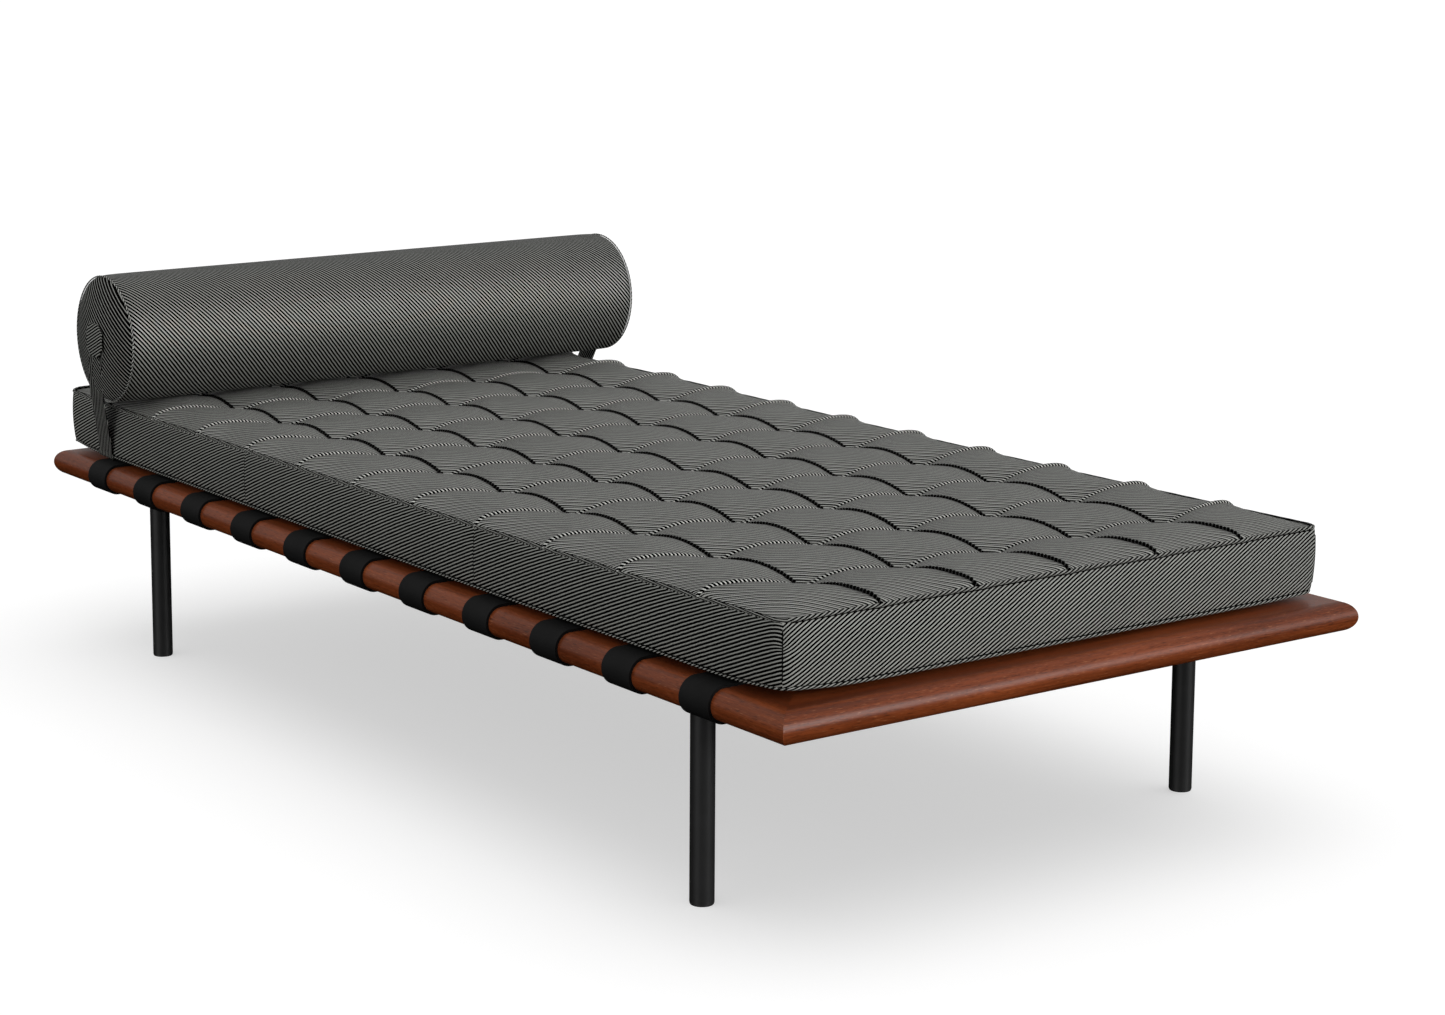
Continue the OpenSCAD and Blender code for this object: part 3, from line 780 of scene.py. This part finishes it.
def rim_line(node, lift, dips):
    """The line of a welt round the mattress, from the box of its CAD piece."""
    low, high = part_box(node)
    radius = (high.z - low.z) / 2
    half = np.array([(high.x - low.x) / 2 - radius, (high.y - low.y) / 2 - radius])
    middle = np.array([(high.x + low.x) / 2, (high.y + low.y) / 2])
    straight = half - CORNER
    line = []
    counts = (PANELS_LONG * 8, PANELS_WIDE * 8) * 2
    starts = [(-1, -1, 1, 0), (1, -1, 0, 1), (1, 1, -1, 0), (-1, 1, 0, -1)]
    for k, (sx, sy, dx, dy) in enumerate(starts):
        ahead, outward = np.array([dx, dy]), np.array([dy, -dx])
        start = np.array([sx, sy]) * np.where(ahead == 0, half, straight)
        length = 2 * (straight[0] if dx else straight[1])
        for i in range(counts[k]):
            line.append(start + ahead * length * i / counts[k])
        centre = np.array(starts[(k + 1) % 4][:2]) * straight
        for i in range(CORNER_STEPS):
            turn = math.pi / 2 * i / CORNER_STEPS
            line.append(centre + CORNER * (outward * math.cos(turn) + ahead * math.sin(turn)))
    line = np.array(line)
    z = np.full(len(line), (low.z + high.z) / 2)
    into = half - np.abs(line)
    near_corner = np.exp(-(into.sum(1) / CORNER_REACH) ** 2)
    z = z + lift * near_corner * np.where(line[:, 1] < 0, 1.0, FAR_SIDE_LIFT)
    line = line - np.sign(line) * (lift * 0.35 * near_corner)[:, None]
    if dips:
        low_m, high_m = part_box("mattress_cover")
        gx = (line[:, 0] + middle[0] - low_m.x) / (high_m.x - low_m.x) * PANELS_LONG
        gy = (line[:, 1] + middle[1] - low_m.y) / (high_m.y - low_m.y) * PANELS_WIDE
        on_long = np.abs(line[:, 1]) > half[1] - CLOSE
        g = np.where(on_long, gx, gy)
        z -= dips * np.exp(-((g - np.round(g)) / 0.1) ** 2)
        z -= np.where(on_long, rim_sag(gx), 0.0)
    return np.c_[line + middle, z]


# The dark thread lines laid beside the welts are painted shade in the creases where the cloth
# turns in.
THREAD_SHADE_RADIUS = 0.0009


def sew_welt(name, node, radius, lift, dips, long_winding):
    """A welt round the mattress, and dark thread lines beside it that are painted shade in the
    creases where the cloth turns in.
    """
    rim = rim_line(node, lift, dips)
    welt = lay_cords(
        name, [rim], radius, True, (0.0099, -4), welt_plain, "base", long_winding,
        long_radius=0.65,
    )
    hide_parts(node)
    middle = (rim.max(0) + rim.min(0)) / 2
    out = np.sign(rim - middle) * (1.0, 1.0, 0.0)
    if node == "welt_top":
        on_end = np.abs(rim[:, 0] - middle[0]) > rim[:, 0].max() - middle[0] - 0.002
        sunk = np.where(on_end, 0.0004, -0.0030)[:, None]
        gaps = [rim + out * sunk + (0, 0, -radius - 0.0002), rim - out * 0.0026 + (0, 0, 0.0010)]
    else:
        gaps = [rim + out * 0.0004 + (0, 0, radius)]
    # Painted shade: near-black lines in the creases below and above the welt.
    lay_cords(name + "_seam", gaps, THREAD_SHADE_RADIUS, True, (0.004, 1), thread_and_painted_shade, "base")


# ---------------------------------------------------------------- bolster

CAP_RINGS = 12
BODY_STEPS = 84
ROUND_STEPS = 96
SEAM_INSET = 0.0022
SEAM_TURN = math.radians(-140)


def make_bolster(finishes):
    low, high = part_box("bolster_cover")
    radius = (high.x - low.x) / 2
    axis = np.array([(high.x + low.x) / 2, (high.z + low.z) / 2])
    seam_low, seam_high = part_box("bolster_welt_near")
    seam_y = -(seam_low.y + seam_high.y) / 2
    seam_r = radius - SEAM_INSET
    dome = high.y - seam_y
    profile = []
    for i in range(CAP_RINGS + 1):
        r = seam_r * i / CAP_RINGS
        fall = (r / seam_r) ** 2.6
        profile.append((r, -(seam_y + dome * (1 - fall) * 0.93)))
    for i in range(1, BODY_STEPS):
        t = i / BODY_STEPS
        t = t - 0.2 * math.sin(2 * math.pi * t) / (2 * math.pi)
        y = -seam_y + 2 * seam_y * t
        edge = min(y + seam_y, seam_y - y)
        swell = 1 - math.exp(-edge / 0.010)
        profile.append((seam_r + (radius - seam_r) * swell, y))
    profile += [(r, -y) for r, y in reversed(profile[:CAP_RINGS + 1])]

    mesh = bpy.data.meshes.new("bolster")
    spots = [(axis[0] + r, y, axis[1]) for r, y in profile]
    mesh.from_pydata(spots, [(i, i + 1) for i in range(len(spots) - 1)], [])
    bolster = bpy.data.objects.new("bolster", mesh)
    bpy.context.scene.collection.objects.link(bolster)
    take(bolster)
    bpy.ops.object.mode_set(mode="EDIT")
    bpy.ops.mesh.select_all(action="SELECT")
    bpy.ops.mesh.spin(
        steps=ROUND_STEPS, angle=2 * math.pi, center=(axis[0], 0.0, axis[1]), axis=(0, 1, 0)
    )
    bpy.ops.mesh.select_all(action="SELECT")
    bpy.ops.mesh.remove_doubles(threshold=0.00005)
    bpy.ops.mesh.normals_make_consistent(inside=False)
    bpy.ops.object.mode_set(mode="OBJECT")

    points = points_of(bolster)
    rel = points[:, [0, 2]] - axis
    reach = np.hypot(rel[:, 0], rel[:, 1])
    on_seam = np.abs(np.abs(points[:, 1]) - seam_y) < CLOSE
    pinned = np.where(on_seam, 1.0, 0.0)
    pinned[reach < 0.02] = 1.0
    puff(bolster, pinned, pressure=1.6, frames=8, most=0.0025)
    points = points_of(bolster)
    points[:, 1] = np.clip(points[:, 1], -high.y + 0.0005, high.y - 0.0005)

    # Its own weight flattens it a little where it rests.
    rel = points[:, [0, 2]] - axis
    drop = -rel[:, 1] / radius
    lower = np.clip(drop, 0, None)
    points[:, 2] -= 0.0032 * lower ** 3
    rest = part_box("mattress_cover")[1].z + TOP_LIMIT - 0.0001
    points[:, 2] = -held_under(-points[:, 2], -rest)
    set_points(bolster, points)
    refine = add_modifier(bolster, "SUBSURF", levels=1, render_levels=1)
    apply_modifier(bolster, refine)

    vertex, face, centre = corners_of(bolster)
    at = points_of(bolster)[vertex]
    mid = centre[face]
    cap = np.abs(mid[:, 1]) > seam_y - 0.0004
    angle = np.arctan2(at[:, 2] - axis[1], at[:, 0] - axis[0])
    home = np.arctan2(mid[:, 2] - axis[1], mid[:, 0] - axis[0])
    home = (home - SEAM_TURN) % (2 * math.pi)
    angle = angle - SEAM_TURN
    angle = angle - np.round((angle - home) / (2 * math.pi)) * 2 * math.pi
    near = mid[:, 1] < 0
    right = np.where(cap, np.where(near, at[:, 0], -at[:, 0]), at[:, 1])
    up = np.where(cap, at[:, 2], angle * radius)
    lean = np.where(cap, LEANS["cap"], LEANS["bolster"])
    lay_weave(bolster, right, up, lean, np.where(cap, 1.25, 1.06))
    for finish in finishes:
        bolster.data.materials.append(finish)
    on_cap = np.zeros(len(centre), int)
    on_cap[face] = cap
    bolster.data.polygons.foreach_set("material_index", on_cap)
    smooth(bolster)
    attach(bolster, "bolster")
    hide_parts("bolster_cover", "bolster_core")
    return axis, seam_y, seam_r


def ring_line(axis, radius, y, count=120):
    turn = np.arange(count) / count * 2 * math.pi
    x, z = axis[0] + radius * np.cos(turn), axis[1] + radius * np.sin(turn)
    return np.c_[x, np.full(count, y), z]


# Millimetres from the bolster's axis, the world's middle and the floor.
TETHER_ROUTE = (
    (0.0, 501.6, 536.3), (0.0, 501.6, 510.3), (-12.0, 498.5, 474.3), (-26.0, 490.5, 432.3),
    (-34.0, 483.5, 406.3), (-46.0, 470.3, 359.0), (-58.0, 460.8, 325.0),
    (-60.0, 460.5, 316.1), (-60.0, 454.3, 316.1), (-60.0, 400.3, 316.1),
)
TETHER_WIDTH, TETHER_THICKNESS = 0.044, 0.0014
TETHER_STEPS = 70


def make_tether(name, sign, axis_x, finish):
    """A flat folded strap from the middle of the bolster's end down and under the mattress."""
    route = np.array(TETHER_ROUTE) * 0.001
    route[:, 0] += axis_x
    route[:, 1] *= sign
    steps = np.r_[0.0, np.cumsum(np.linalg.norm(np.diff(route, axis=0), axis=1))]
    fine = np.linspace(0, steps[-1], TETHER_STEPS)
    path = np.stack([np.interp(fine, steps, route[:, k]) for k in range(3)], 1)
    for _ in range(2):
        path[1:-1] = (path[:-2] + 2 * path[1:-1] + path[2:]) / 4
    bpy.ops.mesh.primitive_plane_add(size=1.0, location=(0, 0, 0))
    tether = bpy.context.object
    tether.name = name
    settle(tether)
    choose_edges_along(tether, 1)
    bpy.ops.mesh.subdivide(number_cuts=len(path) - 2)
    bpy.ops.object.mode_set(mode="OBJECT")
    choose_edges_along(tether, 0)
    bpy.ops.mesh.subdivide(number_cuts=7)
    bpy.ops.object.mode_set(mode="OBJECT")
    flat = points_of(tether)
    row = np.round((flat[:, 1] + 0.5) * (len(path) - 1)).astype(int)
    ahead = np.gradient(path, axis=0)
    ahead /= np.linalg.norm(ahead, axis=1)[:, None]
    wide = np.array([1.0, 0.0, 0.0]) - ahead * ahead[:, :1]
    wide /= np.linalg.norm(wide, axis=1)[:, None]
    out = np.cross(wide, ahead) * -sign
    cup = 0.0016 * (1 - (2 * flat[:, 0]) ** 2) * np.exp(-((path[row, 2] - 0.45) / 0.05) ** 2)
    sideways = wide[row] * flat[:, :1] * TETHER_WIDTH
    set_points(tether, path[row] + sideways + out[row] * (TETHER_THICKNESS / 2 + cup)[:, None])
    vertex = corners_of(tether)[0]
    lay_weave(tether, fine[row][vertex], flat[vertex, 0] * TETHER_WIDTH, LEANS["tether"])
    thick = add_modifier(tether, "SOLIDIFY", thickness=TETHER_THICKNESS, offset=0.0)
    apply_modifier(tether, thick)
    tether.data.materials.append(finish)
    smooth(tether)
    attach(tether, "bolster")
    return tether


def make_patch(name, node, sign, finish):
    """The folded square with cut corners that sews the tether to the bolster's end."""
    low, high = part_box(node)
    size = high - low
    bpy.ops.mesh.primitive_cube_add(size=1.0, location=(low + high) / 2, scale=size)
    patch = bpy.context.object
    patch.name = name
    settle(patch)
    upright = patch.data.attributes.new("bevel_weight_edge", "FLOAT", "EDGE")
    points = points_of(patch)
    weights = []
    for edge in patch.data.edges:
        run = np.abs(points[edge.vertices[0]] - points[edge.vertices[1]])
        weights.append(1.0 if run.argmax() == 1 else 0.0)
    upright.data.foreach_set("value", weights)
    cut = add_modifier(patch, "BEVEL", width=0.0132, segments=1, limit_method="WEIGHT")
    apply_modifier(patch, cut)
    rim = add_modifier(
        patch, "BEVEL", width=0.0008, segments=3, limit_method="ANGLE",
        angle_limit=math.radians(50),
    )
    apply_modifier(patch, rim)
    vertex = corners_of(patch)[0]
    at = points_of(patch)[vertex]
    lay_weave(patch, -sign * at[:, 0], at[:, 2] + at[:, 1], LEANS["patch"], 0.92)
    patch.data.materials.append(finish)
    take(patch)
    bpy.ops.object.shade_smooth_by_angle(angle=math.radians(40))
    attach(patch, "bolster")
    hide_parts(node)


# ---------------------------------------------------------------- the frame's finishes

# What a piece's name starts with, then its finish: name, colour, roughness, specular, grain,
# depth of the grain and, for a metal, 1.0.
FRAME_FINISHES = {
    "strap_": ("strap_rubber", (0.0085, 0.0085, 0.0085), 0.62, 0.07, 900.0, 0.00008),
    "leg_plug": ("zinc_plug", (0.35, 0.35, 0.36), 0.4, 0.5, 500.0, 0.00003, 1.0),
    "leg_plate": ("steel_plate", (0.30, 0.30, 0.31), 0.45, 0.5, 400.0, 0.00004, 1.0),
    "leg_": ("leg_paint", (0.0150, 0.0150, 0.0152), 0.42, 0.18, 700.0, 0.00003),
    "glide": ("glide_nylon", (0.01, 0.01, 0.01), 0.5, 0.3, 600.0, 0.00004),
    "strap_clamps": ("clamp_steel", (0.28, 0.28, 0.29), 0.42, 0.5, 500.0, 0.00004, 1.0),
    "strap_screws": ("screw_zinc", (0.45, 0.45, 0.44), 0.35, 0.5, 500.0, 0.00003, 1.0),
    "tuft_ties": ("tie_twine", (0.30, 0.27, 0.21), 0.9, 0.1, 900.0, 0.0001),
    "tie_washers": ("washer_felt", (0.06, 0.06, 0.058), 0.95, 0.05, 1200.0, 0.0002),
}


def finish_frame():
    wood_x = wood_finish("hardwood_long", False)
    wood_y = wood_finish("hardwood_end", True)
    kinds = {start: plain_finish(*finish) for start, finish in FRAME_FINISHES.items()}
    kinds["plate_screws"] = kinds["strap_screws"]
    for name, piece in NODES.items():
        if name.startswith(("side_rail", "tongue")):
            chosen = wood_x
        elif name.startswith("end_rail"):
            chosen = wood_y
        else:
            found = [k for k in kinds if name.startswith(k)]
            if not found:
                continue
            chosen = kinds[max(found, key=len)]
        for index in range(len(piece.data.materials)):
            piece.data.materials[index] = chosen


# ---------------------------------------------------------------- put together

set_camera()
set_floor_and_light()
finish_frame()

# Lit and shaded copies of one twill: the top is painted lighter as sheen, the long sides get wider
# dark gaps as painted shade, and the ends get narrower dark gaps as painted light where the light
# falls on them.
top_twill_painted_light = twill_finish("top_twill_painted_light", 0.50, (0.30, 0.304, 0.285), (0.001, 0.001, 0.0009), 0.7)
side_twill_painted_shade = twill_finish("side_twill_painted_shade", 0.40, (0.265, 0.27, 0.25))
end_twill_painted_light = twill_finish("end_twill_painted_light", 0.46, (0.26, 0.265, 0.246))
# The bolster's copy of the twill is painted darker as shade, with a glossier finish.
bolster_twill_painted_shade = twill_finish("bolster_twill_painted_shade", 0.40, (0.16, 0.164, 0.15), gloss=2.6)
twill_cap = twill_finish("twill_cap", 0.26, (0.30, 0.305, 0.285))
# A brighter copy of the welt cloth, painted light, for the seams across the top, which face the
# light, and for the bolster's seam rings.
welt_painted_light = twill_finish("welt_painted_light", 0.36, (0.46, 0.465, 0.44), soft=0.12)
welt_plain = twill_finish("welt_plain", 0.44)
# A near-black copy of the welt cloth, painted shade, for the seams along the top, whose seen side
# is in shade.
welt_painted_shade = twill_finish("welt_painted_shade", 0.22, (0.02, 0.02, 0.019), soft=0.15)
# Near-black thread for the seam lines: painted shade in the welt creases, and real seams darkened
# with painted shade up the boxing.
thread_and_painted_shade = plain_finish("dark_thread_painted_shade", (0.0015, 0.0015, 0.0015), 0.9, 0.02, 1500.0, 0.0001)

across_lines, along_lines, uprights = make_mattress([top_twill_painted_light, side_twill_painted_shade, end_twill_painted_light])
lay_cords(
    "seams_across", [line + (0, 0, 0.0020) for line in across_lines], 0.0029, False,
    (0.0060, 2), welt_painted_light, "base",
)
# The seams along the top use the painted-shade copy of the welt cloth.
lay_cords(
    "seams_along", [line + (0, 0, 0.0016) for line in along_lines], 0.0028, False,
    (0.0064, 2), welt_painted_shade, "base", teeth=0.3,
)
# Dark lines up the boxing's corners and joints: real seams, darkened as painted shade of their
# creases.
lay_cords(
    "boxing_seams", [line[1:-1] for line in uprights], 0.0008, False, (0.004, 1), thread_and_painted_shade, "base"
)
sew_welt("top_welt", "welt_top", 0.0028, 0.0, 0.0012, (0.036, 4))
sew_welt("bottom_welt", "welt_bottom", 0.0026, 0.006, 0.0, (0.0080, -2))

bolster_axis, bolster_seam_y, bolster_seam_r = make_bolster([bolster_twill_painted_shade, twill_cap])
for end, sign in (("near", -1), ("far", 1)):
    ring = lay_cords(
        "bolster_seam_" + end,
        [ring_line(bolster_axis, bolster_seam_r + 0.0003, sign * bolster_seam_y)],
        0.0012, True, (0.0075, 2), welt_painted_light, "bolster",
    )
    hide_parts("bolster_welt_" + end)
    tether = make_tether("tether_" + end + "_strap", sign, bolster_axis[0], twill_cap)
    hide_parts("tether_" + end)
    make_patch("patch_" + end, "tether_patch_" + end, sign, side_twill_painted_shade)
